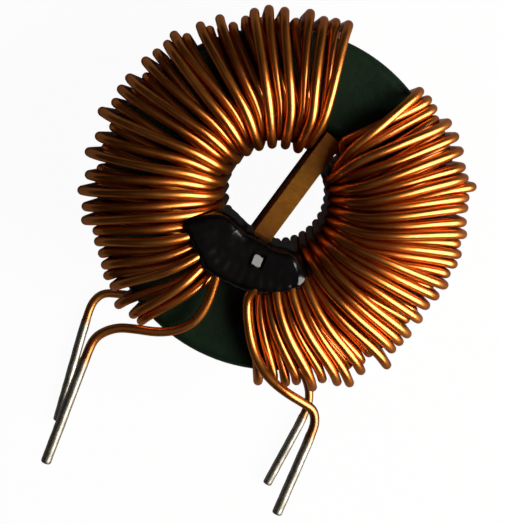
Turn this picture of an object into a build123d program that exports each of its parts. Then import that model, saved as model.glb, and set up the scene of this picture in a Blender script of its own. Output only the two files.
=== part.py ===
from build123d import *
import math
import os

# Two-winding toroidal inductor, lying on its rear face with its four pins along -Y.
# The origin is on the ring's axis, on the surface that the lowest turns touch.

# Ring core, over its green coating
core_outer_diameter = 28.0
core_inner_diameter = 14.0
core_height = 12.0
core_edge_radius = 0.8
coating_thickness = 0.4

# Enamelled wire of both windings
wire_diameter = 0.78
wire_sides = 6

# Divider strip that stands across the hole and keeps the windings apart
strip_thickness = 1.6
strip_height = core_height
strip_offset = 0.8
strip_angle = 75.9
strip_end_clearance = 0.05
strip_wire_clearance = 0.1

# Black adhesive over the lower inner rim
adhesive_rim_overlap = 0.6
adhesive_hole_reach = 3.5
adhesive_depth = 5.5
adhesive_cover = 0.35
adhesive_edge_radius = 1.2
adhesive_start_angle = 213.0
adhesive_end_angle = 322.0

# Tinned ends of the leads
tinning_thickness = 0.04
tinning_tip_thickness = 0.15
tinning_setback = 0.6

# Pins: distance from the middle plane as a share of the core's outer radius,
# clearance of the root below the core, length and inward lean
left_front_pin_reach_share = 0.67857
left_front_pin_clearance = 3.2
left_front_pin_length = 9.7
left_front_pin_lean = 0.9
left_rear_pin_reach_share = 0.83929
left_rear_pin_clearance = 3.3
left_rear_pin_length = 10.4
left_rear_pin_lean = 5.7
right_front_pin_reach_share = 0.71071
right_front_pin_clearance = 2.0
right_front_pin_length = 7.6
right_front_pin_lean = 0.6
right_rear_pin_reach_share = 0.74643
right_rear_pin_clearance = 3.9
right_rear_pin_length = 7.9
right_rear_pin_lean = 5.6

# Rows of wire, as shares of the wire's diameter away from the core:
# the outward pass lies in the first two rows and the return pass in the last two.
bore_row_shares = (0.56, 1.22, 2.25, 3.08)
rim_row_shares = (0.56, 1.20, 2.23, 3.08)
edge_row_shares = (0.56, 0.56, 1.60, 2.05)

# Extra room behind the first return turn, which passes over the last outward turn there
crossover_share = 1.0

# Places of the turns at the core's outside, in the order that they are wound:
# angle, and wire diameters that the turn stands clear of the core
left_outward_place_shares = (
    (244.1, 0.61), (235.8, 1.44), (226.3, 0.92), (219.1, 0.61), (207.4, 0.56),
    (203.6, 0.56), (199.6, 0.56), (195.6, 0.56), (191.6, 0.56), (184.7, 0.56),
    (177.5, 0.56), (170.5, 1.54), (164.2, 0.56), (158.2, 0.56), (150.8, 1.64),
    (145.0, 0.56), (140.6, 1.23), (133.2, 0.92), (129.6, 0.56), (125.8, 0.56),
    (121.5, 0.92), (116.6, 0.56), (111.0, 0.56), (105.6, 0.56), (93.5, 1.44),
)
left_return_place_shares = (
    (89.7, 1.64), (97.2, 1.23), (101.7, 1.64), (109.4, 1.54), (114.1, 1.75),
    (118.5, 1.54), (129.1, 1.64), (135.3, 1.64), (143.5, 2.06), (146.6, 1.64),
    (154.9, 1.75), (161.9, 1.75), (166.1, 1.75), (174.7, 2.26), (181.9, 1.54),
    (187.3, 2.06), (194.1, 1.64), (198.9, 2.26), (203.8, 1.85), (207.9, 1.95),
    (211.6, 0.81), (215.0, 0.71), (222.8, 0.61), (230.0, 0.71), (240.8, 0.71),
)
right_outward_place_shares = (
    (-73.1, 0.81), (-68.3, 0.56), (-64.4, 0.92), (-56.8, 0.56), (-48.1, 0.56),
    (-43.8, 0.56), (-39.4, 0.81), (-36.0, 0.56), (-27.8, 0.56), (-21.8, 0.56),
    (-16.0, 0.56), (-6.8, 0.56), (-0.7, 1.54), (2.8, 1.85), (9.1, 1.54),
    (14.7, 0.56), (20.2, 0.56), (26.5, 2.58), (32.6, 0.56), (36.4, 0.56),
    (40.2, 0.56), (44.7, 0.56), (49.4, 0.56), (52.8, 0.92), (56.0, 0.92),
)
right_return_place_shares = (
    (59.7, 0.71), (46.9, 1.54), (42.2, 1.75), (37.7, 1.75), (32.8, 1.64),
    (29.4, 1.75), (23.5, 1.75), (20.4, 1.64), (16.0, 1.64), (12.4, 1.85),
    (6.1, 1.85), (-4.0, 1.75), (-8.3, 1.54), (-12.3, 1.23), (-17.1, 1.54),
    (-22.8, 1.64), (-26.2, 1.64), (-29.4, 1.64), (-35.1, 2.68), (-42.2, 1.64),
    (-45.4, 2.37), (-48.7, 1.75), (-52.8, 1.02), (-56.3, 1.64), (-60.9, 0.71),
)

# Lead routes: share of the way from the hole to the core's outside, angle,
# and wire diameters clear of the core's face
left_front_route_shares = (
    (0.116, 254.4, 2.5),
    (0.370, 258.4, 2.0),
    (0.658, 258.7, 1.6),
    (0.872, 254.7, 1.4),
    (1.032, 250.2, 1.3),
    (1.184, 244.5, 1.3),
    (1.328, 240.8, 1.3),
    (1.498, 239.3, 1.3),
    (1.640, 239.3, 1.3),
)
left_rear_route_shares = (
    (1.826, 233.7, 2.66),
    (1.652, 233.3, 2.66),
    (1.498, 235.9, 2.66),
    (1.258, 241.0, 2.72),
    (1.042, 246.0, 2.72),
    (0.786, 250.0, 2.0),
    (0.428, 251.2, 1.0),
)
right_front_route_shares = (
    (0.088, -84.8, 2.6),
    (0.340, -81.7, 2.1),
    (0.642, -77.5, 1.9),
    (0.852, -73.6, 2.2),
    (1.018, -69.6, 2.7),
    (1.182, -64.4, 2.7),
    (1.354, -59.2, 2.0),
    (1.452, -57.3, 1.5),
    (1.570, -57.2, 1.3),
)
right_rear_route_shares = (
    (1.772, -58.5, 2.66),
    (1.622, -58.5, 2.66),
    (1.480, -59.2, 2.66),
    (1.228, -64.0, 2.72),
    (1.000, -72.0, 2.72),
    (0.714, -79.0, 2.2),
    (0.358, -82.8, 1.1),
)

core_outer_radius = core_outer_diameter / 2
core_inner_radius = core_inner_diameter / 2
wire_radius = wire_diameter / 2
core_bottom = wire_diameter * rim_row_shares[-1] + wire_radius
core_middle = core_bottom + core_height / 2
core_top = core_bottom + core_height

# Where a chamfer that touches a corner's arc half way leaves the straight run
chamfer_share = math.tan(math.pi / 8)


def polar(radius, angle, height):
    turn = math.radians(angle)
    return Vector(radius * math.cos(turn), radius * math.sin(turn), height)


def place_at(places, share):
    """Angle and stand of a turn at a share of its pass, between hand-chosen places."""
    spot = share * (len(places) - 1)
    index = min(int(spot), len(places) - 2)
    part = spot - index
    return [first + (second - first) * part for first, second in zip(places[index], places[index + 1])]


def ring(outer_radius, inner_radius, height, edge_radius):
    """Ring about the axis with rounded edges, at the core's height."""
    width = outer_radius - inner_radius
    middle = (outer_radius + inner_radius) / 2
    profile = Pos(middle, 0, core_middle) * (Plane.XZ * RectangleRounded(width, height, edge_radius))
    return revolve(profile, Axis.Z)


def face_height(level, side):
    """Height of a wire that lies clear of the front (1) or rear (-1) face."""
    return core_middle + side * (core_height / 2 + level)


def bore_point(row, angle, side):
    offset = wire_diameter * bore_row_shares[row]
    reach = (core_edge_radius + offset) * chamfer_share
    return polar(core_inner_radius - offset, angle, face_height(reach - core_edge_radius, side))


def rim_point(row, angle, side):
    level = wire_diameter * rim_row_shares[row]
    reach = (core_edge_radius + level) * chamfer_share
    return polar(core_inner_radius + core_edge_radius - reach, angle, face_height(level, side))


def edge_point(row, stand, angle, side, lift_share=0):
    level = wire_diameter * (edge_row_shares[row] + lift_share)
    reach = (core_edge_radius + stand) * chamfer_share
    return polar(core_outer_radius - core_edge_radius + reach, angle, face_height(level, side))


def outer_point(row, stand, angle, side):
    level = wire_diameter * edge_row_shares[row]
    reach = (core_edge_radius + level) * chamfer_share
    return polar(core_outer_radius + stand, angle, face_height(reach - core_edge_radius, side))


def turn_points(row, next_row, bore_angle, outer_angle, stand, rear_lift_share=0):
    """One turn: up the hole, across the front, down the outside and onto the rear face."""
    return [
        rim_point(row, bore_angle, -1),
        bore_point(row, bore_angle, -1),
        bore_point(row, bore_angle, 1),
        rim_point(row, bore_angle, 1),
        edge_point(row, stand, outer_angle, 1),
        outer_point(row, stand, outer_angle, 1),
        outer_point(next_row, stand, outer_angle, -1),
        edge_point(next_row, stand, outer_angle, -1, rear_lift_share),
    ]


def strip_lean(side, row):
    """Angle at the axis between the strip and the nearest wire of a row, left (1) or right (-1) of it."""
    clear = strip_thickness / 2 - side * strip_offset + wire_radius + strip_wire_clearance
    return math.degrees(math.asin(clear / (core_inner_radius - wire_diameter * bore_row_shares[row])))


def bore_ends(side, row):
    """Bore angles of a pass at the lead end and at the far end, clear of the strip."""
    lean = strip_lean(side, row)
    if side > 0:
        return strip_angle + 180 - lean, strip_angle + lean
    return strip_angle - 180 + lean, strip_angle - lean


# Turns in one pass: as many as fit side by side in the tighter winding's two inner rows
tight_start, tight_end = bore_ends(-1, -1)
tight_row_radius = core_inner_radius - wire_diameter * bore_row_shares[-1]
tight_arc = math.radians(tight_end - tight_start) * tight_row_radius
turns_per_pass = int(2 * tight_arc / wire_diameter)


def winding_turns(side, outward_places, return_places):
    """Points of all turns: an outward pass on the core, then a return pass over it."""
    points = []
    start, end = bore_ends(side, 1)
    for turn in range(turns_per_pass):
        share = turn / (turns_per_pass - 1)
        outer_angle, stand_share = place_at(outward_places, share)
        bore_angle = start + (end - start) * share
        next_row = 2 if turn == turns_per_pass - 1 else (turn + 1) % 2
        points += turn_points(turn % 2, next_row, bore_angle, outer_angle, wire_diameter * stand_share)
    start, end = bore_ends(side, 3)
    for turn in range(turns_per_pass):
        outer_angle, stand_share = place_at(return_places, turn / (turns_per_pass - 1))
        bore_angle = end + (start - end) * turn / turns_per_pass
        rows = 2 + turn % 2, 2 + (turn + 1) % 2
        lift_share = crossover_share if turn == 0 else 0
        points += turn_points(*rows, bore_angle, outer_angle, wire_diameter * stand_share, lift_share)
    last_row = 2 + turns_per_pass % 2
    points += [
        rim_point(last_row, start, -1),
        bore_point(last_row, start, -1),
        bore_point(last_row, start, 1),
        rim_point(last_row, start, 1),
    ]
    return points


def route_points(route_shares, side):
    return [
        polar(
            core_inner_radius + (core_outer_radius - core_inner_radius) * width_share,
            angle,
            face_height(wire_diameter * level_share, side),
        )
        for width_share, angle, level_share in route_shares
    ]


def pin_points(hand, reach_share, clearance, length, lean, level_share, side):
    """Root and tip of a pin: hand is 1 on the left and -1 on the right."""
    height = face_height(wire_diameter * level_share, side)
    turn = math.radians(lean)
    root = Vector(-hand * core_outer_radius * reach_share, -core_outer_radius - clearance, height)
    return root, root + Vector(hand * math.sin(turn), -math.cos(turn), 0) * length


def onto_plane(point, direction, origin, normal):
    """The point moved along a direction until it lies in a plane."""
    return point + direction * ((origin - point).dot(normal) / direction.dot(normal))


def wire_sections(points):
    """Sections of a wire at the ends of straight runs that meet in mitres, inscribed in the round wire."""
    runs = [(b - a).normalized() for a, b in zip(points, points[1:])]
    start = Plane(origin=points[0], z_dir=runs[0])
    section = [
        start.from_local_coords(polar(wire_radius, 360 * side / wire_sides, 0)) for side in range(wire_sides)
    ]
    sections = [section]
    for index, run in enumerate(runs):
        last = index == len(runs) - 1
        mitre = run if last else (run + runs[index + 1]).normalized()
        section = [onto_plane(corner, run, points[index + 1], mitre) for corner in section]
        sections.append(section)
    return sections


def wire_solid(sections):
    """Flat-sided wire through its sections."""
    faces = [Face(Wire.make_polygon(sections[0]))]
    for section, following in zip(sections, sections[1:]):
        for side in range(wire_sides):
            after = (side + 1) % wire_sides
            quad = [section[side], section[after], following[after], following[side]]
            faces.append(Face(Wire.make_polygon(quad)))
    faces.append(Face(Wire.make_polygon(sections[-1])))
    return Solid(Shell(faces))


def reaches(corners, box):
    """Whether the box around some corners meets another box."""
    return all(
        min(values) < high and low < max(values)
        for values, low, high in zip(zip(*corners), box.min, box.max)
    )


def wire_stretches(sections, box):
    """Solids of the stretches of a wire that come near a box."""
    stretches = []
    stretch = []
    for section, following in zip(sections, sections[1:]):
        if reaches(section + following, box):
            stretch = stretch or [section]
            stretch.append(following)
        elif stretch:
            stretches.append(stretch)
            stretch = []
    if stretch:
        stretches.append(stretch)
    return [wire_solid(stretch) for stretch in stretches]


def make_strip():
    """Flat-ended board strip, as long as its far side can be in the hole, less a clearance."""
    far_side = strip_offset + strip_thickness / 2
    half_length = math.sqrt((core_inner_radius - strip_end_clearance) ** 2 - far_side**2)
    board = Pos(0, -strip_offset, core_middle) * Box(2 * half_length, strip_thickness, strip_height)
    return Rot(0, 0, strip_angle) * board


def make_adhesive(obstacles, wires):
    """Bead over the lower rim, moulded around the wires, the strip and the core."""
    outer_radius = core_inner_radius + adhesive_rim_overlap
    inner_radius = core_inner_radius - adhesive_hole_reach
    top = core_top + core_bottom + adhesive_cover
    height = top - core_top + adhesive_depth
    width = outer_radius - inner_radius
    middle = (outer_radius + inner_radius) / 2
    profile = Plane.XZ * RectangleRounded(width, height, adhesive_edge_radius)
    profile = Pos(middle, 0, top - height / 2) * profile
    bead = revolve(profile, Axis.Z, adhesive_end_angle - adhesive_start_angle)
    bead = Rot(0, 0, adhesive_start_angle) * bead
    box = bead.bounding_box()
    for sections in wires:
        obstacles += wire_stretches(sections, box)
    for obstacle in obstacles:
        bead -= obstacle
    return max(bead.solids(), key=lambda solid: solid.volume)


def make_tinning(root, tip, wire):
    """Thin solder coat around the end of a lead, closed over its tip."""
    direction = (tip - root).normalized()
    start = root + direction * tinning_setback
    length = (tip - start).length + tinning_tip_thickness
    radius = wire_radius + tinning_thickness
    coat = extrude(Plane(origin=start, z_dir=direction) * Circle(radius), length)
    end_edge = coat.edges().sort_by(lambda edge: (edge.center() - root).dot(direction))[-1]
    return fillet(end_edge, tinning_tip_thickness) - wire


left_front_pin = pin_points(
    1, left_front_pin_reach_share, left_front_pin_clearance, left_front_pin_length, left_front_pin_lean,
    left_front_route_shares[-1][-1], 1,
)
left_rear_pin = pin_points(
    1, left_rear_pin_reach_share, left_rear_pin_clearance, left_rear_pin_length, left_rear_pin_lean,
    left_rear_route_shares[0][-1], -1,
)
right_front_pin = pin_points(
    -1, right_front_pin_reach_share, right_front_pin_clearance, right_front_pin_length, right_front_pin_lean,
    right_front_route_shares[-1][-1], 1,
)
right_rear_pin = pin_points(
    -1, right_rear_pin_reach_share, right_rear_pin_clearance, right_rear_pin_length, right_rear_pin_lean,
    right_rear_route_shares[0][-1], -1,
)

left_path = [
    *reversed(left_rear_pin),
    *route_points(left_rear_route_shares, -1),
    *winding_turns(1, left_outward_place_shares, left_return_place_shares),
    *route_points(left_front_route_shares, 1),
    *left_front_pin,
]
right_path = [
    *reversed(right_rear_pin),
    *route_points(right_rear_route_shares, -1),
    *winding_turns(-1, right_outward_place_shares, right_return_place_shares),
    *route_points(right_front_route_shares, 1),
    *right_front_pin,
]

coated_ring = ring(core_outer_radius, core_inner_radius, core_height, core_edge_radius)
ferrite_core = ring(
    core_outer_radius - coating_thickness,
    core_inner_radius + coating_thickness,
    core_height - 2 * coating_thickness,
    core_edge_radius - coating_thickness,
)
left_sections = wire_sections(left_path)
right_sections = wire_sections(right_path)
left_winding = wire_solid(left_sections)
right_winding = wire_solid(right_sections)
divider_strip = make_strip()

nodes = {
    "ferrite_core": ferrite_core,
    "core_coating": coated_ring - ferrite_core,
    "left_winding": left_winding,
    "right_winding": right_winding,
    "divider_strip": divider_strip,
    "adhesive_bead": make_adhesive([coated_ring, divider_strip], (left_sections, right_sections)),
    "left_front_tinning": make_tinning(*left_front_pin, left_winding),
    "left_rear_tinning": make_tinning(*left_rear_pin, left_winding),
    "right_front_tinning": make_tinning(*right_front_pin, right_winding),
    "right_rear_tinning": make_tinning(*right_rear_pin, right_winding),
}

os.makedirs("parts", exist_ok=True)
for name, shape in nodes.items():
    export_step(shape, f"parts/{name}.step")
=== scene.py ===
import math
import random
from collections import namedtuple

import bpy
from mathutils import Matrix, Vector, noise


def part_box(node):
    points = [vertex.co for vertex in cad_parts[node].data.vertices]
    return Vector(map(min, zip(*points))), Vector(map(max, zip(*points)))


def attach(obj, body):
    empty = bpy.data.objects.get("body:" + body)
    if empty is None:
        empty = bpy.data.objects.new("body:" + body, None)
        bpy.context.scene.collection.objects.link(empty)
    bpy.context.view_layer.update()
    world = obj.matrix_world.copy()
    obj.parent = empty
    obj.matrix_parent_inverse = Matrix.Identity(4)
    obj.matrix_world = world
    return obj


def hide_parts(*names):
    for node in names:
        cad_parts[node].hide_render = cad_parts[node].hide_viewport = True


# Dressed toroidal inductor, in metres: round enamelled wire, moulded adhesive, solder and surfaces.
# The places of the turns, the leads and the adhesive follow the photograph.

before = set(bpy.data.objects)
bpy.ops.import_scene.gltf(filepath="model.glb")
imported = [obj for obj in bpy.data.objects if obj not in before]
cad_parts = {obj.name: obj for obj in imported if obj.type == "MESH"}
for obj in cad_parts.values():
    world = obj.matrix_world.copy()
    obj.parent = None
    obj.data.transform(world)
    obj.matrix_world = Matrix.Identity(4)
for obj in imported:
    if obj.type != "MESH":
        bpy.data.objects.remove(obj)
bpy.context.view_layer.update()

# Ring core, over its green coating; the hole is half as wide as the ring
coating_low, coating_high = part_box("core_coating")
core_outer_radius = (coating_high[0] - coating_low[0]) / 2
core_inner_radius = core_outer_radius / 2
core_bottom = coating_low[2]
core_top = coating_high[2]
core_height = core_top - core_bottom
core_middle = (core_bottom + core_top) / 2
core_edge_radius = 0.0008

# Where a chamfer that touches a corner's arc half way leaves the straight run
chamfer_share = math.tan(math.pi / 8)

# Enamelled wire of both windings, with tight bends at the inner rim and onto upright runs
wire_diameter = 0.00078
wire_radius = wire_diameter / 2
wire_sides = 14
corner_steps = 5
tight_bend_reach = 0.0010
wide_bend_reach = 0.0024

# Runs across the front: how many wire diameters they arch clear of a straight line, where along it,
# and how much farther the return pass bends around the inner rim
arch_share = 0.95
arch_place_share = 0.40
rim_round = 0.0009

# Degrees that a turn's outer run leans between the front and the rear
outer_lean = 1.6

# Loops at the lower end bow outward and aside: how far, and the angles where that starts and where it is full
lower_bow = 0.0004
lower_aside = 0.0004
left_bow_angles = (205, 222)
right_bow_angles = (-15, -45)

# The turns at the right winding's far end lean over the strip: degrees at the front rim, and how many turns
right_rim_lean = 9.0
lean_turns = 3

# Small differences from turn to turn, aside and clear of the core
front_wander = 0.00008
front_rise = 0.00005
left_seed = 11
right_seed = 23

# Divider strip that stands across the hole
strip_thickness = 0.0016
strip_offset = 0.0008
strip_angle = 75.9
strip_end_clearance = 0.00001
strip_wire_clearance = 0.0001
strip_edge = 0.00006
strip_end_steps = 8

# Colours of the strip's fibres, and the darkening of its colour toward both ends, along the way from its
# lower end to its upper end
strip_fibre_stops = (
    (0.25, (0.116, 0.042, 0.0008)),
    (0.5, (0.146, 0.053, 0.0011)),
    (0.8, (0.18, 0.067, 0.002)),
)
strip_end_tone_stops = (
    (0.05, (0.40, 0.32, 0.28)),
    (0.35, (0.72, 0.63, 0.56)),
    (0.58, (1.0, 1.0, 1.0)),
    (0.70, (0.97, 0.95, 0.93)),
    (0.92, (0.82, 0.68, 0.45)),
)

# Dark patch on the coating that runs out from the adhesive's edge beside the right front lead: its two ends,
# and the sum of the distances from both of them where it is full and where it is gone
dark_patch_ends = ((-0.0002, -0.0079, core_top), (0.0007, -0.0106, core_top))
dark_patch_reach = (0.0029, 0.0037)

# Tinned ends of the leads: the solder's thickness, how ragged its edge is, and the length where its colour
# fades into the enamel's
tinning_thickness = 0.00004
tinning_feather = 0.0007
tinning_fade = 0.0014

# Solder: length of its steps, lumps as a share of its thickness, and how fine its lumps and its edge are
solder_step = wire_radius / 2
solder_lump_share = 0.5
solder_lump_scale = 0.9
solder_edge_scale = 1.7

# Past its edge the solder lies this share of the wire's radius under the enamel
solder_sink_share = 0.03

# Rounded tip of the solder: steps past the wire's end, the least share of the full radius,
# and the distances from the tip where that would be and where the solder has its full radius
tip_steps = 3
tip_share = 0.55
tip_round_start = -wire_radius / 2
tip_round_end = wire_radius / 3

# Pins: distance from the middle plane, distance of the root below the axis, length and inward lean
Pin = namedtuple("Pin", "reach drop length lean")
left_front_pin_sizes = Pin(reach=0.0095, drop=0.0172, length=0.0097, lean=0.9)
left_rear_pin_sizes = Pin(reach=0.01175, drop=0.0173, length=0.0104, lean=5.7)
right_front_pin_sizes = Pin(reach=0.00995, drop=0.0160, length=0.0076, lean=0.6)
right_rear_pin_sizes = Pin(reach=0.01045, drop=0.0179, length=0.0079, lean=5.6)

# Rows of wire, as shares of the wire's diameter away from the core:
# the outward pass lies in the first two rows and the return pass in the last two.
bore_row_shares = (0.56, 1.22, 2.25, 3.08)
rim_row_shares = (0.56, 1.20, 2.23, 3.08)
edge_row_shares = (0.56, 0.56, 1.60, 2.05)
outward_rows = (0, 1)
return_rows = (2, 3)

# Extra room behind the first return turn, which passes over the last outward turn there
crossover_share = 1.0

# Places of the turns at the core's outside, in the order that they are wound:
# angle, and wire diameters that the turn stands clear of the core
left_outward_place_shares = (
    (244.1, 0.61), (235.8, 1.44), (226.3, 0.92), (219.1, 0.61), (207.4, 0.56),
    (203.6, 0.56), (199.6, 0.56), (195.6, 0.56), (191.6, 0.56), (184.7, 0.56),
    (177.5, 0.56), (170.5, 1.54), (164.2, 0.56), (158.2, 0.56), (150.8, 1.64),
    (145.0, 0.56), (140.6, 1.23), (133.2, 0.92), (129.6, 0.56), (125.8, 0.56),
    (121.5, 0.92), (116.6, 0.56), (111.0, 0.56), (105.6, 0.56), (93.5, 1.44),
)
left_return_place_shares = (
    (89.7, 1.64), (97.2, 1.23), (101.7, 1.64), (109.4, 1.54), (114.1, 1.75),
    (118.5, 1.54), (129.1, 1.64), (135.3, 1.64), (143.5, 2.06), (146.6, 1.64),
    (154.9, 1.75), (161.9, 1.75), (166.1, 1.75), (174.7, 2.26), (181.9, 1.54),
    (187.3, 2.06), (194.1, 1.64), (198.9, 2.26), (203.8, 1.85), (207.9, 1.95),
    (211.6, 0.81), (215.0, 0.71), (222.8, 0.61), (230.0, 0.71), (240.8, 0.71),
)
right_outward_place_shares = (
    (-73.1, 0.81), (-68.3, 0.56), (-64.4, 0.92), (-56.8, 0.56), (-48.1, 0.56),
    (-43.8, 0.56), (-39.4, 0.81), (-36.0, 0.56), (-31.2, 0.56), (-19.9, 0.56),
    (-16.0, 0.56), (-6.8, 0.56), (-0.7, 1.54), (2.8, 1.85), (9.1, 1.54),
    (14.7, 0.56), (20.2, 0.56), (26.5, 2.58), (32.6, 0.56), (36.4, 0.56),
    (40.2, 0.56), (44.7, 0.56), (49.4, 0.56), (52.8, 0.92), (56.0, 0.92),
)
right_return_place_shares = (
    (59.7, 0.71), (46.9, 1.54), (42.2, 1.75), (37.7, 1.75), (32.8, 1.64),
    (29.4, 1.75), (23.5, 1.75), (20.4, 1.64), (16.0, 1.64), (12.4, 1.85),
    (6.1, 1.85), (-4.0, 1.75), (-8.3, 1.54), (-12.3, 1.23), (-17.1, 1.54),
    (-22.8, 1.64), (-26.2, 1.64), (-29.4, 1.64), (-33.4, 2.68), (-40.8, 1.64),
    (-45.4, 2.37), (-48.7, 1.75), (-52.8, 1.02), (-56.3, 1.64), (-60.9, 0.71),
)

# Lead routes: share of the way from the hole to the core's outside, angle,
# and wire diameters clear of the core's face
left_front_route_shares = (
    (0.116, 254.4, 2.5),
    (0.370, 258.4, 2.0),
    (0.658, 258.7, 1.6),
    (0.872, 254.7, 1.4),
    (1.032, 250.2, 1.3),
    (1.184, 244.5, 1.3),
    (1.328, 240.8, 1.3),
    (1.498, 239.3, 1.3),
    (1.640, 239.3, 1.3),
)
left_rear_route_shares = (
    (1.826, 233.7, 2.66),
    (1.652, 233.3, 2.66),
    (1.498, 235.9, 2.66),
    (1.258, 241.0, 2.72),
    (1.042, 246.0, 2.72),
    (0.786, 250.0, 2.0),
    (0.428, 251.2, 1.0),
)
right_front_route_shares = (
    (0.088, -84.8, 2.6),
    (0.340, -81.7, 2.1),
    (0.642, -77.5, 1.9),
    (0.852, -73.6, 2.2),
    (1.018, -69.6, 2.7),
    (1.182, -64.4, 2.7),
    (1.354, -59.2, 2.0),
    (1.452, -57.3, 1.5),
    (1.570, -57.2, 1.3),
)
right_rear_route_shares = (
    (1.772, -58.5, 2.66),
    (1.622, -58.5, 2.66),
    (1.480, -59.2, 2.66),
    (1.228, -64.0, 2.72),
    (1.000, -72.0, 2.72),
    (0.714, -79.0, 2.2),
    (0.358, -82.8, 1.1),
)

# Black adhesive over the lower inner rim: angle, outer radius, inner radius, height over the core's face
adhesive_sections = (
    (206.0, 0.00710, 0.00440, 0.00260),
    (210.0, 0.00755, 0.00405, 0.00285),
    (216.0, 0.00765, 0.00365, 0.00290),
    (224.0, 0.00755, 0.00335, 0.00295),
    (236.0, 0.00755, 0.00315, 0.00295),
    (246.0, 0.00790, 0.00310, 0.00285),
    (256.0, 0.00765, 0.00295, 0.00275),
    (268.0, 0.00755, 0.00285, 0.00270),
    (282.0, 0.00745, 0.00300, 0.00275),
    (296.0, 0.00730, 0.00345, 0.00275),
    (310.0, 0.00710, 0.00385, 0.00275),
    (320.0, 0.00670, 0.00430, 0.00270),
)
adhesive_depth = 0.0048
adhesive_steps = 150
adhesive_sides = 120

# Form of the adhesive's section and ends: fall of its top toward the hole, roundness of its corners,
# how suddenly its ends close, and the share of its section that is left there
adhesive_slope = 0.0003
adhesive_square_share = 0.3
adhesive_end_power = 18
adhesive_end_share = 0.02

# Lumps and ripples of the adhesive, and ridges where it lies over the wires:
# height, and size or, for the ridges, degrees from one to the next
adhesive_lump = 0.00005
adhesive_lump_size = 0.0016
adhesive_ripple = 0.00003
adhesive_ripple_size = 0.0006
adhesive_ridge = 0.00003
adhesive_ridge_angle = 7.0

# Flat spot of the adhesive that catches the light: place, half the width, how far it blends out as a share
# of that, how much of the lumps it smooths away, and its fall for each length in x and y
facet_place = (0.00042, -0.00468)
facet_reach = 0.00040
facet_blend_share = 1.5
facet_calm_share = 0.7
facet_fall_shares = (0.49, 0.14)


def polar(radius, angle, height):
    turn = math.radians(angle)
    return Vector((radius * math.cos(turn), radius * math.sin(turn), height))


def smooth_share(value, start, end):
    """Share from 0 at the start to 1 at the end, level at both."""
    share = min(max((value - start) / (end - start), 0), 1)
    return share * share * (3 - 2 * share)


def face_height(level, side):
    """Height of a wire that lies clear of the front (1) or rear (-1) face."""
    return core_middle + side * (core_height / 2 + level)


def bore_point(row, angle, side):
    offset = wire_diameter * bore_row_shares[row]
    reach = (core_edge_radius + offset) * chamfer_share
    return polar(core_inner_radius - offset, angle, face_height(reach - core_edge_radius, side))


def rim_point(row, angle, side):
    level = wire_diameter * rim_row_shares[row]
    reach = (core_edge_radius + level) * chamfer_share
    return polar(core_inner_radius + core_edge_radius - reach, angle, face_height(level, side))


def edge_point(row, stand, angle, side, lift_share=0):
    level = wire_diameter * (edge_row_shares[row] + lift_share)
    reach = (core_edge_radius + stand) * chamfer_share
    return polar(core_outer_radius - core_edge_radius + reach, angle, face_height(level, side))


def outer_point(row, stand, angle, side):
    level = wire_diameter * edge_row_shares[row]
    reach = (core_edge_radius + level) * chamfer_share
    return polar(core_outer_radius + stand, angle, face_height(reach - core_edge_radius, side))


def over_rim(row, bore_angle, rim_angle):
    """The way out of the hole onto the front face, rounder for the turns that lie over others."""
    bore = bore_point(row, bore_angle, 1)
    rim = rim_point(row, rim_angle, 1)
    shoulder = bore.lerp(rim, 1 / 2)
    if row in return_rows:
        bore.z -= rim_round
        rim.xy *= 1 + rim_round / rim.xy.length
    return bore, shoulder, rim


def between(first, second, aside, chance):
    """A point along a run across the front, arched clear of the straight line and a little aside."""
    middle = first.lerp(second, arch_place_share)
    across = Vector((0, 0, 1)).cross(second - first).normalized()
    middle += across * (chance.uniform(-front_wander, front_wander) + aside)
    middle.z += wire_diameter * arch_share + chance.uniform(0, front_rise)
    return middle


def turn_points(hand, row, next_row, bore_angle, rim_lean, outer_angle, stand, chance, rear_lift_share=0):
    """One turn: up the hole, across the front, down the outside and onto the rear face."""
    bow_share = smooth_share(outer_angle, *(left_bow_angles if hand > 0 else right_bow_angles))
    stand += lower_bow * bow_share
    rear_angle = outer_angle + hand * outer_lean
    front_bore, shoulder, front_rim = over_rim(row, bore_angle, bore_angle + rim_lean)
    front_edge = edge_point(row, stand, outer_angle, 1)
    return [
        rim_point(row, bore_angle, -1),
        bore_point(row, bore_angle, -1),
        front_bore,
        shoulder,
        front_rim,
        between(front_rim, front_edge, hand * lower_aside * bow_share, chance),
        front_edge,
        outer_point(row, stand, outer_angle, 1),
        outer_point(next_row, stand, rear_angle, -1),
        edge_point(next_row, stand, rear_angle, -1, rear_lift_share),
    ]


def strip_lean(hand, row):
    """Angle at the axis between the strip and the nearest wire of a row, left (1) or right (-1) of it."""
    clear = strip_thickness / 2 - hand * strip_offset + wire_radius + strip_wire_clearance
    return math.degrees(math.asin(clear / (core_inner_radius - wire_diameter * bore_row_shares[row])))


def bore_ends(hand, row):
    """Bore angles of a pass at the lead end and at the far end, clear of the strip."""
    lean = strip_lean(hand, row)
    if hand > 0:
        return strip_angle + 180 - lean, strip_angle + lean
    return strip_angle - 180 + lean, strip_angle - lean


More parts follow.
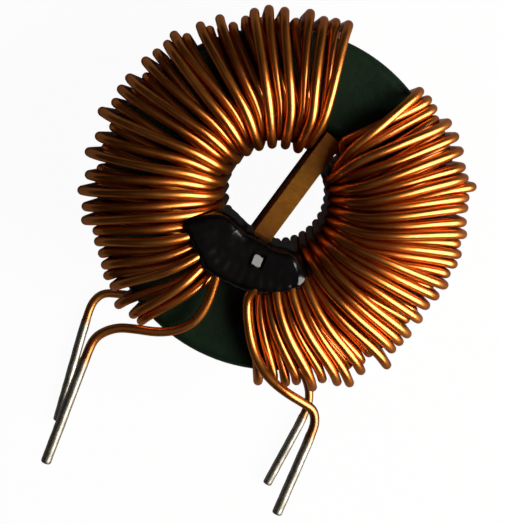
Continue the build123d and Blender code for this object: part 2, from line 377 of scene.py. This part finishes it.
def winding_turns(hand, outward_places, return_places, far_lean, chance):
    """Points of all turns: an outward pass on the core, then a return pass over it.

    hand is 1 on the left and -1 on the right. The front rims of the turns at the far end lean by far_lean."""
    points = []
    start, end = bore_ends(hand, outward_rows[-1])
    last_turn = len(outward_places) - 1
    for turn, (outer_angle, stand_share) in enumerate(outward_places):
        bore_angle = start + (end - start) * turn / last_turn
        row = outward_rows[turn % 2]
        next_row = return_rows[0] if turn == last_turn else outward_rows[(turn + 1) % 2]
        lean = far_lean * max(1 - (last_turn - turn) / lean_turns, 0)
        stand = wire_diameter * stand_share
        points += turn_points(hand, row, next_row, bore_angle, lean, outer_angle, stand, chance)
    start, end = bore_ends(hand, return_rows[-1])
    for turn, (outer_angle, stand_share) in enumerate(return_places):
        bore_angle = end + (start - end) * turn / len(return_places)
        row = return_rows[turn % 2]
        next_row = return_rows[(turn + 1) % 2]
        lean = far_lean * max(1 - turn / lean_turns, 0)
        stand = wire_diameter * stand_share
        lift_share = crossover_share if turn == 0 else 0
        points += turn_points(hand, row, next_row, bore_angle, lean, outer_angle, stand, chance, lift_share)
    last_row = return_rows[len(return_places) % 2]
    points += [
        rim_point(last_row, start, -1),
        bore_point(last_row, start, -1),
        bore_point(last_row, start, 1),
        rim_point(last_row, start, 1),
    ]
    return points


def route_points(route_shares, side):
    return [
        polar(
            core_inner_radius + (core_outer_radius - core_inner_radius) * width_share,
            angle,
            face_height(wire_diameter * level_share, side),
        )
        for width_share, angle, level_share in route_shares
    ]


def pin_points(hand, sizes, level_share, side):
    """Root and tip of a pin: hand is 1 on the left and -1 on the right."""
    turn = math.radians(sizes.lean)
    root = Vector((-hand * sizes.reach, -sizes.drop, face_height(wire_diameter * level_share, side)))
    return root, root + Vector((hand * math.sin(turn), -math.cos(turn), 0)) * sizes.length


def bend_end(corner, point):
    """Where a bend ends on the way to a point: half way there, but no farther than a bend reaches."""
    run = point - corner
    at_rim = corner.xy.length < core_inner_radius + core_edge_radius
    tight = at_rim or abs(run.z) > run.xy.length
    return corner + run.normalized() * min(run.length / 2, tight_bend_reach if tight else wide_bend_reach)


def eased(points):
    """The wire's line, with each bend a smooth curve and without points that all but fall together."""
    line = [points[0]]
    for before, corner, after in zip(points, points[1:], points[2:]):
        first = bend_end(corner, before)
        last = bend_end(corner, after)
        for step in range(corner_steps + 1):
            share = step / corner_steps
            line.append(first.lerp(corner, share).lerp(corner.lerp(last, share), share))
    line.append(points[-1])
    kept = line[:1]
    for point in line[1:]:
        if (point - kept[-1]).length > wire_radius / wire_sides:
            kept.append(point)
    return kept


def lengths_along(line):
    lengths = [0.0]
    for first, second in zip(line, line[1:]):
        lengths.append(lengths[-1] + (second - first).length)
    return lengths


def ring_faces(rings, sides):
    """Faces between rings of vertices that follow one another, closed at both ends."""
    faces = []
    for low in range(0, (rings - 1) * sides, sides):
        high = low + sides
        for side in range(sides):
            after = (side + 1) % sides
            faces.append((low + side, low + after, high + after, high + side))
    faces.append(tuple(reversed(range(sides))))
    faces.append(tuple(range((rings - 1) * sides, rings * sides)))
    return faces


def tube(line, radius_at, sides):
    """Vertices and faces of a closed tube along a line.

    radius_at gives the radius for a point's number and a side's angle."""
    vertices = []
    direction = (line[1] - line[0]).normalized()
    across = direction.orthogonal().normalized()
    for index, point in enumerate(line):
        before = line[max(index - 1, 0)]
        after = line[min(index + 1, len(line) - 1)]
        following = (after - before).normalized()
        across = direction.rotation_difference(following) @ across
        across = (across - following * across.dot(following)).normalized()
        direction = following
        upward = direction.cross(across)
        for side in range(sides):
            angle = 2 * math.pi * side / sides
            radius = radius_at(index, angle)
            vertices.append(point + (across * math.cos(angle) + upward * math.sin(angle)) * radius)
    return vertices, ring_faces(len(line), sides)


def add_piece(name, vertices, faces, material, node):
    """A smooth mesh piece that stands for a CAD node and rides on the part."""
    mesh = bpy.data.meshes.new(name)
    mesh.from_pydata([tuple(vertex) for vertex in vertices], [], faces)
    mesh.shade_smooth()
    mesh.materials.append(material)
    piece = bpy.data.objects.new(name, mesh)
    bpy.context.scene.collection.objects.link(piece)
    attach(piece, "root")
    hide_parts(node)
    return piece


def add_values(piece, name, values):
    """Stores a number for each vertex, for the piece's material."""
    layer = piece.data.attributes.new(name, "FLOAT", "POINT")
    layer.data.foreach_set("value", values)


def add_wire(name, points, material, node):
    """Round wire of one winding, with the distance to its nearer end stored along it."""
    line = eased(points)
    lengths = lengths_along(line)
    vertices, faces = tube(line, lambda index, angle: wire_radius, wire_sides)
    piece = add_piece(name, vertices, faces, material, node)
    total = lengths[-1]
    values = [min(length, total - length) for length in lengths for side in range(wire_sides)]
    add_values(piece, "from_end", values)
    return line


def solder_line(line, pin_length):
    """The solder's line in short steps, from just past the tip to beyond the pin's root."""
    lengths = lengths_along(line)
    kept = [index for index, length in enumerate(lengths) if length < pin_length + 2 * tinning_feather]
    outward = (line[0] - line[1]).normalized()
    coat = [line[0] + outward * tinning_thickness * step for step in range(tip_steps, 0, -1)]
    for index in kept[:-1]:
        run = line[index + 1] - line[index]
        steps = max(1, round(run.length / solder_step))
        coat += [line[index] + run * step / steps for step in range(steps)]
    return coat


def add_solder(name, line, pin_length, material, node):
    """Solder coat around the end of a lead, from its tip to a ragged edge on the enamel."""
    coat = solder_line(line, pin_length)
    distances = lengths_along(coat)
    sink = wire_radius * solder_sink_share

    def radius_at(index, angle):
        swirl = Vector((math.cos(angle), math.sin(angle), distances[index] / wire_diameter))
        lumps = noise.noise(swirl * solder_lump_scale) * tinning_thickness * solder_lump_share
        ragged = pin_length + noise.noise(swirl.yxz * solder_edge_scale) * tinning_feather
        cover = 1 - smooth_share(distances[index], ragged - tinning_feather, ragged)
        rounding = smooth_share(distances[index], tip_round_start, tip_round_end)
        full = wire_radius - sink + (tinning_thickness + sink + lumps) * cover
        return full * (tip_share + (1 - tip_share) * rounding)

    vertices, faces = tube(coat, radius_at, wire_sides)
    piece = add_piece(name, vertices, faces, material, node)
    shares = [smooth_share(pin_length - distance, 0, tinning_fade) for distance in distances]
    add_values(piece, "tinned_share", [share for share in shares for side in range(wire_sides)])


def adhesive_section(angle):
    """Outer radius, inner radius and height of the adhesive at an angle, between the listed sections."""
    for (start, *first), (end, *second) in zip(adhesive_sections, adhesive_sections[1:]):
        if angle <= end:
            share = (angle - start) / (end - start)
            return [low + (high - low) * share for low, high in zip(first, second)]
    return adhesive_sections[-1][1:]


def rounded_square(turn):
    """Place on a square with rounded corners, at an angle about its middle."""
    power = 1 / adhesive_square_share
    reach = math.hypot(abs(math.cos(turn)) ** power, abs(math.sin(turn)) ** power) ** adhesive_square_share
    return math.cos(turn) / reach, math.sin(turn) / reach


def adhesive_swell(point, angle, across, upward):
    """Lumps, ripples and ridges of the adhesive at a point of its smooth form."""
    swell = noise.noise(point / adhesive_lump_size) * adhesive_lump
    swell += noise.noise(point / adhesive_ripple_size) * adhesive_ripple
    ridge = math.cos(2 * math.pi * angle / adhesive_ridge_angle) * adhesive_ridge
    return swell + ridge * max(upward, 0) * max(across, 0)


def facet_form(point):
    """Share of the flat spot in the adhesive's top at a point, and its rise there."""
    east = point.x - facet_place[0]
    north = point.y - facet_place[1]
    distance = max(abs(east), abs(north))
    share = 1 - smooth_share(distance, facet_reach, facet_reach * facet_blend_share)
    return share, -(east * facet_fall_shares[0] + north * facet_fall_shares[1]) * share


def add_adhesive(material):
    """Lumpy bead moulded over the wires at the lower inner rim."""
    start = adhesive_sections[0][0]
    end = adhesive_sections[-1][0]
    vertices = []
    for step in range(adhesive_steps + 1):
        share = step / adhesive_steps
        angle = start + (end - start) * share
        outer, inner, height = adhesive_section(angle)
        taper = math.sqrt(max(1 - abs(2 * share - 1) ** adhesive_end_power, adhesive_end_share**2))
        middle = (outer + inner) / 2
        half_width = (outer - inner) / 2 * taper
        half_height = (height + adhesive_depth) / 2 * taper
        middle_height = core_top + (height - adhesive_depth) / 2
        for side in range(adhesive_sides):
            across, upward = rounded_square(2 * math.pi * side / adhesive_sides)
            point = polar(middle + half_width * across, angle, middle_height + half_height * upward)
            point.z -= adhesive_slope * (1 - across) / 2 * max(upward, 0)
            outward = Vector((point.x, point.y, 0)).normalized() * across + Vector((0, 0, upward))
            swell = adhesive_swell(point, angle, across, upward) * taper
            facet_share, rise = facet_form(point) if upward > 0 else (0, 0)
            point += outward.normalized() * swell * (1 - facet_share * facet_calm_share)
            point.z += rise
            vertices.append(point)
    faces = ring_faces(adhesive_steps + 1, adhesive_sides)
    return add_piece("adhesive_moulded", vertices, faces, material, "adhesive_bead")


def add_strip(material):
    """Board strip with softened edges, whose ends follow the hole."""
    reach = core_inner_radius - strip_end_clearance
    middle = -strip_offset
    outline = []
    for end in (1, -1):
        for step in range(strip_end_steps + 1):
            across = end * strip_thickness * (step / strip_end_steps - 1 / 2)
            outline.append((end, across, end * math.sqrt(reach**2 - (middle + across) ** 2)))
    levels = (
        (strip_edge, core_bottom),
        (0, core_bottom + strip_edge),
        (0, core_top - strip_edge),
        (strip_edge, core_top),
    )
    turn = Matrix.Rotation(math.radians(strip_angle), 3, "Z")
    vertices = []
    for inset, height in levels:
        for end, across, along in outline:
            side = across * (1 - 2 * inset / strip_thickness)
            vertices.append(turn @ Vector((along - end * inset, middle + side, height)))
    faces = ring_faces(len(levels), len(outline))
    piece = add_piece("divider_board", vertices, faces, material, "divider_strip")
    piece.data.shade_flat()


# Materials, with noise that mostly stays between these two values
grain_low = 0.3
grain_high = 0.7


def set_inputs(node, values):
    for name, value in values.items():
        node.inputs[name.replace("_", " ")].default_value = value


def new_material(name, **values):
    """A material whose shader has the named inputs set."""
    material = bpy.data.materials.new(name)
    material.use_nodes = True
    shader = material.node_tree.nodes["Principled BSDF"]
    set_inputs(shader, values)
    return material, material.node_tree, shader


def add_node(tree, kind, **values):
    """A node with the named inputs set."""
    node = tree.nodes.new(kind)
    set_inputs(node, values)
    return node


def object_place(tree, stretch=(1, 1, 1), turn=0):
    """Object coordinates, turned about the axis and stretched."""
    place = tree.nodes.new("ShaderNodeTexCoord")
    mapping = add_node(tree, "ShaderNodeMapping", Scale=stretch, Rotation=(0, 0, math.radians(turn)))
    tree.links.new(place.outputs["Object"], mapping.inputs["Vector"])
    return mapping.outputs["Vector"]


def stored(tree, name):
    """The number stored for each vertex under a name."""
    node = tree.nodes.new("ShaderNodeAttribute")
    node.attribute_name = name
    return node.outputs["Fac"]


def grain(tree, place, size, detail=3, roughness=0.55):
    """Noise whose features are about the given size."""
    node = add_node(tree, "ShaderNodeTexNoise", Scale=1 / size, Detail=detail, Roughness=roughness)
    tree.links.new(place, node.inputs["Vector"])
    return node.outputs[0]


def ramp(tree, source, *stops):
    """Colours at shares of the source value."""
    node = tree.nodes.new("ShaderNodeValToRGB")
    elements = node.color_ramp.elements
    while len(elements) < len(stops):
        elements.new(1.0)
    for element, (share, colour) in zip(elements, stops):
        element.position = share
        element.color = (*colour, 1)
    tree.links.new(source, node.inputs["Fac"])
    return node.outputs["Color"]


def shades(tree, source, dark, light):
    """Colours from dark to light over a noise."""
    return ramp(tree, source, (grain_low, dark), (grain_high, light))


def spread(tree, source, low, high, from_low=grain_low, from_high=grain_high):
    """The source value moved from one range to another."""
    node = tree.nodes.new("ShaderNodeMapRange")
    node.inputs["From Min"].default_value = from_low
    node.inputs["From Max"].default_value = from_high
    node.inputs["To Min"].default_value = low
    node.inputs["To Max"].default_value = high
    tree.links.new(source, node.inputs["Value"])
    return node.outputs["Result"]


def blend(tree, share, first, second, kind="MIX"):
    """Two colours mixed by a share."""
    node = tree.nodes.new("ShaderNodeMix")
    node.data_type = "RGBA"
    node.blend_type = kind
    sockets = [socket for socket in node.inputs if socket.enabled]
    for socket, value in zip(sockets, (share, first, second)):
        if hasattr(value, "is_linked"):
            tree.links.new(value, socket)
        elif isinstance(value, tuple):
            socket.default_value = (*value, 1)
        else:
            socket.default_value = value
    return next(socket for socket in node.outputs if socket.enabled)


def combine(tree, kind, first, second):
    """Two numbers put together, the second a socket or a plain number."""
    node = tree.nodes.new("ShaderNodeMath")
    node.operation = kind
    tree.links.new(first, node.inputs[0])
    if isinstance(second, float):
        node.inputs[1].default_value = second
    else:
        tree.links.new(second, node.inputs[1])
    return node.outputs[0]


def away(tree, place, spot):
    """Distance of a place from a spot."""
    node = tree.nodes.new("ShaderNodeVectorMath")
    node.operation = "DISTANCE"
    tree.links.new(place, node.inputs[0])
    node.inputs[1].default_value = spot
    return node.outputs["Value"]


def bump(tree, shader, source, height, share):
    """A relief of the given height, as strong as the share."""
    node = add_node(tree, "ShaderNodeBump", Strength=share, Distance=height)
    tree.links.new(source, node.inputs["Height"])
    tree.links.new(node.outputs["Normal"], shader.inputs["Normal"])


def copper_material():
    """Copper under clear enamel, specked, and scorched beside the tinned ends."""
    dark = (0.45, 0.122, 0.014)
    light = (0.64, 0.215, 0.036)
    speck = (0.22, 0.050, 0.008)
    scorch = (0.10, 0.035, 0.012)
    edge_tint = (0.85, 0.40, 0.16, 1)
    material, tree, shader = new_material(
        "enamelled_copper_wire", Metallic=1.0, Coat_Weight=0.5, Coat_Roughness=0.15, Specular_Tint=edge_tint
    )
    place = object_place(tree)
    broad = grain(tree, place, size=0.0045)
    fine = grain(tree, place, size=0.00045, detail=4)
    copper = shades(tree, broad, dark, light)
    speck_share = spread(tree, fine, low=0.0, high=0.35, from_low=0.55, from_high=0.8)
    copper = blend(tree, speck_share, copper, speck)
    from_end = stored(tree, "from_end")
    scorch_share = spread(tree, from_end, low=0.75, high=0.0, from_low=0.0085, from_high=0.0125)
    copper = blend(tree, scorch_share, copper, scorch)
    tree.links.new(copper, shader.inputs["Base Color"])
    tree.links.new(spread(tree, broad, low=0.27, high=0.37), shader.inputs["Roughness"])
    bump(tree, shader, fine, height=0.000008, share=0.5)
    return material


def coating_material():
    """Dark green coat with a slight peel, and a dark patch on it beside the right front lead."""
    dark = (0.0030, 0.0088, 0.0038)
    light = (0.0047, 0.0124, 0.0054)
    dark_patch_colour = (0.0016, 0.0016, 0.0014)
    material, tree, shader = new_material("green_coating", Specular_IOR_Level=0.1)
    place = object_place(tree)
    peel = grain(tree, place, size=0.0005, detail=2)
    green = shades(tree, grain(tree, place, size=0.003), dark, light)
    distance = combine(tree, "ADD", *(away(tree, place, end) for end in dark_patch_ends))
    green = blend(tree, spread(tree, distance, 1, 0, *dark_patch_reach), green, dark_patch_colour)
    tree.links.new(green, shader.inputs["Base Color"])
    tree.links.new(spread(tree, peel, low=0.34, high=0.50), shader.inputs["Roughness"])
    bump(tree, shader, peel, height=0.00004, share=0.6)
    return material


def board_material():
    """Ochre board with fibres along it, darker spots, and colour darkened toward both ends along its length.
    """
    spot = (0.060, 0.021, 0.003)
    material, tree, shader = new_material("board", Specular_IOR_Level=0.12)
    along = object_place(tree, stretch=(0.35, 1.0, 0.5), turn=-strip_angle)
    fibre = grain(tree, along, size=0.00022, roughness=0.5)
    spots = grain(tree, object_place(tree), size=0.0016)
    ochre = ramp(tree, fibre, *strip_fibre_stops)
    spot_share = spread(tree, spots, low=0.0, high=0.6, from_low=0.5, from_high=0.75)
    ochre = blend(tree, spot_share, ochre, spot)
    split = tree.nodes.new("ShaderNodeSeparateXYZ")
    tree.links.new(object_place(tree, turn=-strip_angle), split.inputs["Vector"])
    way = spread(tree, split.outputs["X"], 0, 1, -core_inner_radius, core_inner_radius)
    ochre = blend(tree, 1.0, ochre, ramp(tree, way, *strip_end_tone_stops), "MULTIPLY")
    tree.links.new(ochre, shader.inputs["Base Color"])
    tree.links.new(spread(tree, fibre, low=0.50, high=0.66), shader.inputs["Roughness"])
    bump(tree, shader, fibre, height=0.00002, share=0.4)
    return material


def adhesive_material():
    """Glossy black adhesive with a thin uneven film."""
    dark = (0.0010, 0.0007, 0.0007)
    light = (0.0024, 0.0015, 0.0014)
    light_from = 0.75
    material, tree, shader = new_material("black_adhesive", Specular_IOR_Level=0.3)
    place = object_place(tree)
    film = grain(tree, place, size=0.0011)
    skin = grain(tree, place, size=0.00030)
    black = ramp(tree, film, (grain_low, dark), (light_from, light))
    tree.links.new(black, shader.inputs["Base Color"])
    tree.links.new(spread(tree, film, low=0.12, high=0.22), shader.inputs["Roughness"])
    bump(tree, shader, skin, height=0.00001, share=0.3)
    return material


def solder_material():
    """Dull grey solder that fades into the wire's colour at its edge."""
    dark = (0.22, 0.20, 0.165)
    light = (0.36, 0.33, 0.285)
    speck = (0.20, 0.18, 0.155)
    enamel = (0.30, 0.115, 0.032)
    material, tree, shader = new_material("tinned_wire", Metallic=1.0)
    place = object_place(tree)
    fine = grain(tree, place, size=0.00025, detail=4)
    grey = shades(tree, grain(tree, place, size=0.0016), dark, light)
    speck_share = spread(tree, fine, low=0.0, high=0.3, from_low=0.52, from_high=0.8)
    grey = blend(tree, speck_share, grey, speck)
    grey = blend(tree, stored(tree, "tinned_share"), enamel, grey)
    tree.links.new(grey, shader.inputs["Base Color"])
    tree.links.new(spread(tree, fine, low=0.34, high=0.46), shader.inputs["Roughness"])
    bump(tree, shader, fine, height=0.00002, share=0.2)
    return material


def ferrite_material():
    """Dark sintered ferrite."""
    dark = (0.020, 0.020, 0.022)
    light = (0.040, 0.040, 0.043)
    material, tree, shader = new_material("ferrite")
    sinter = grain(tree, object_place(tree), size=0.0004, detail=4)
    tree.links.new(shades(tree, sinter, dark, light), shader.inputs["Base Color"])
    tree.links.new(spread(tree, sinter, low=0.45, high=0.65), shader.inputs["Roughness"])
    return material


# Pieces
left_front_pin = pin_points(1, left_front_pin_sizes, left_front_route_shares[-1][-1], 1)
left_rear_pin = pin_points(1, left_rear_pin_sizes, left_rear_route_shares[0][-1], -1)
right_front_pin = pin_points(-1, right_front_pin_sizes, right_front_route_shares[-1][-1], 1)
right_rear_pin = pin_points(-1, right_rear_pin_sizes, right_rear_route_shares[0][-1], -1)

left_chance = random.Random(left_seed)
left_points = [
    *reversed(left_rear_pin),
    *route_points(left_rear_route_shares, -1),
    *winding_turns(1, left_outward_place_shares, left_return_place_shares, 0, left_chance),
    *route_points(left_front_route_shares, 1),
    *left_front_pin,
]
right_chance = random.Random(right_seed)
right_points = [
    *reversed(right_rear_pin),
    *route_points(right_rear_route_shares, -1),
    *winding_turns(-1, right_outward_place_shares, right_return_place_shares, right_rim_lean, right_chance),
    *route_points(right_front_route_shares, 1),
    *right_front_pin,
]

wire_look = copper_material()
solder_look = solder_material()
left_line = add_wire("left_wire", left_points, wire_look, "left_winding")
right_line = add_wire("right_wire", right_points, wire_look, "right_winding")
for name, line, sizes, node in (
    ("left_rear_solder", left_line, left_rear_pin_sizes, "left_rear_tinning"),
    ("left_front_solder", left_line[::-1], left_front_pin_sizes, "left_front_tinning"),
    ("right_rear_solder", right_line, right_rear_pin_sizes, "right_rear_tinning"),
    ("right_front_solder", right_line[::-1], right_front_pin_sizes, "right_front_tinning"),
):
    add_solder(name, line, sizes.length, solder_look, node)
add_strip(board_material())
add_adhesive(adhesive_material())

for node, material in (
    ("core_coating", coating_material()),
    ("ferrite_core", ferrite_material()),
):
    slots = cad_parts[node].data.materials
    for index in range(len(slots)):
        slots[index] = material

# Camera at the photograph's place: the image is 505 wide and 524 high
image_height = 524
focal_length_pixels = 1360
sensor_height = 36.0
camera_near = 0.005
camera_place = Vector((-0.0026686, 0.0086534, 0.1244091))
camera_forward = Vector((0.02556, -0.12567, -0.99174))
camera_up = Vector((-0.37763, 0.91735, -0.12598))

camera_right = camera_forward.cross(camera_up)
camera_data = bpy.data.cameras.new("camera")
camera_data.sensor_fit = "VERTICAL"
camera_data.sensor_height = sensor_height
camera_data.lens = focal_length_pixels * sensor_height / image_height
camera_data.clip_start = camera_near
camera = bpy.data.objects.new("camera", camera_data)
axes = Matrix((camera_right, camera_up, -camera_forward)).transposed()
camera.matrix_world = Matrix.Translation(camera_place) @ axes.to_4x4()
bpy.context.scene.collection.objects.link(camera)
bpy.context.scene.camera = camera

# Floor: greys for the light it throws on the part and for the camera, and how white the camera and
# reflections see it
floor_reach = 2.0
floor_mottle_size = 0.05
floor_dim_greys = (0.15, 0.17)
floor_pale_greys = (0.53, 0.57)
floor_white_share = 0.96
floor_gloss_share = 0.02

# Greys of a dim room with a pale horizon, by the height of the direction: 0 is level and 1 is straight up
room_greys = ((0.0, 0.30), (0.08, 0.24), (0.22, 0.015), (0.75, 0.015), (0.95, 0.10))

# Soft key light: its angle from the photograph's right, which is itself an angle about the part's axis
image_right_angle = 22.2
key_angle = -17
key_elevation = 33
key_distance = 0.30
key_width = 0.26
key_height = 0.28
key_radiance = 12.0
key_colour = (1.0, 0.97, 0.92)


def grey(value):
    return (value, value, value)


def add_floor():
    """White floor to the camera, dim to the part, that keeps the part's shadow."""
    corners = [(x * floor_reach, y * floor_reach, 0) for x, y in ((-1, -1), (1, -1), (1, 1), (-1, 1))]
    mesh = bpy.data.meshes.new("floor")
    mesh.from_pydata(corners, [], [(0, 1, 2, 3)])
    material, tree, shader = new_material("floor", Roughness=0.9, Specular_IOR_Level=0.1)
    rays = tree.nodes.new("ShaderNodeLightPath")
    mottle = grain(tree, object_place(tree), floor_mottle_size)
    dim = shades(tree, mottle, *map(grey, floor_dim_greys))
    pale = shades(tree, mottle, *map(grey, floor_pale_greys))
    tree.links.new(blend(tree, rays.outputs["Is Camera Ray"], dim, pale), shader.inputs["Base Color"])
    mirrored = combine(tree, "MAXIMUM", rays.outputs["Is Glossy Ray"], rays.outputs["Is Transmission Ray"])
    mirrored = combine(tree, "MULTIPLY", mirrored, floor_gloss_share)
    seen = combine(tree, "MULTIPLY", rays.outputs["Is Camera Ray"], floor_white_share)
    glow = add_node(tree, "ShaderNodeEmission", Color=(1, 1, 1, 1), Strength=1.0)
    mix = tree.nodes.new("ShaderNodeMixShader")
    tree.links.new(combine(tree, "MAXIMUM", seen, mirrored), mix.inputs["Fac"])
    tree.links.new(shader.outputs[0], mix.inputs[1])
    tree.links.new(glow.outputs[0], mix.inputs[2])
    tree.links.new(mix.outputs[0], tree.nodes["Material Output"].inputs["Surface"])
    mesh.materials.append(material)
    floor = bpy.data.objects.new("floor", mesh)
    bpy.context.scene.collection.objects.link(floor)


def add_key():
    """Soft light panel aimed at the middle of the part."""
    turn = math.radians(image_right_angle + key_angle)
    rise = math.radians(key_elevation)
    direction = Vector((math.cos(rise) * math.cos(turn), math.cos(rise) * math.sin(turn), math.sin(rise)))
    data = bpy.data.lights.new("key", "AREA")
    data.shape = "RECTANGLE"
    data.size = key_width
    data.size_y = key_height
    data.energy = key_radiance * math.pi * key_width * key_height
    data.color = key_colour
    panel = bpy.data.objects.new("key", data)
    panel.rotation_euler = direction.to_track_quat("Z", "Y").to_euler()
    panel.location = Vector((0, 0, core_middle)) + direction * key_distance
    bpy.context.scene.collection.objects.link(panel)


def add_world():
    world = bpy.data.worlds.new("room")
    world.use_nodes = True
    tree = world.node_tree
    place = tree.nodes.new("ShaderNodeTexCoord")
    split = tree.nodes.new("ShaderNodeSeparateXYZ")
    tree.links.new(place.outputs["Generated"], split.inputs["Vector"])
    room = ramp(tree, split.outputs["Z"], *((height, grey(value)) for height, value in room_greys))
    tree.links.new(room, tree.nodes["Background"].inputs["Color"])
    bpy.context.scene.world = world


add_floor()
add_world()
add_key()

bpy.context.scene.view_settings.view_transform = "Standard"
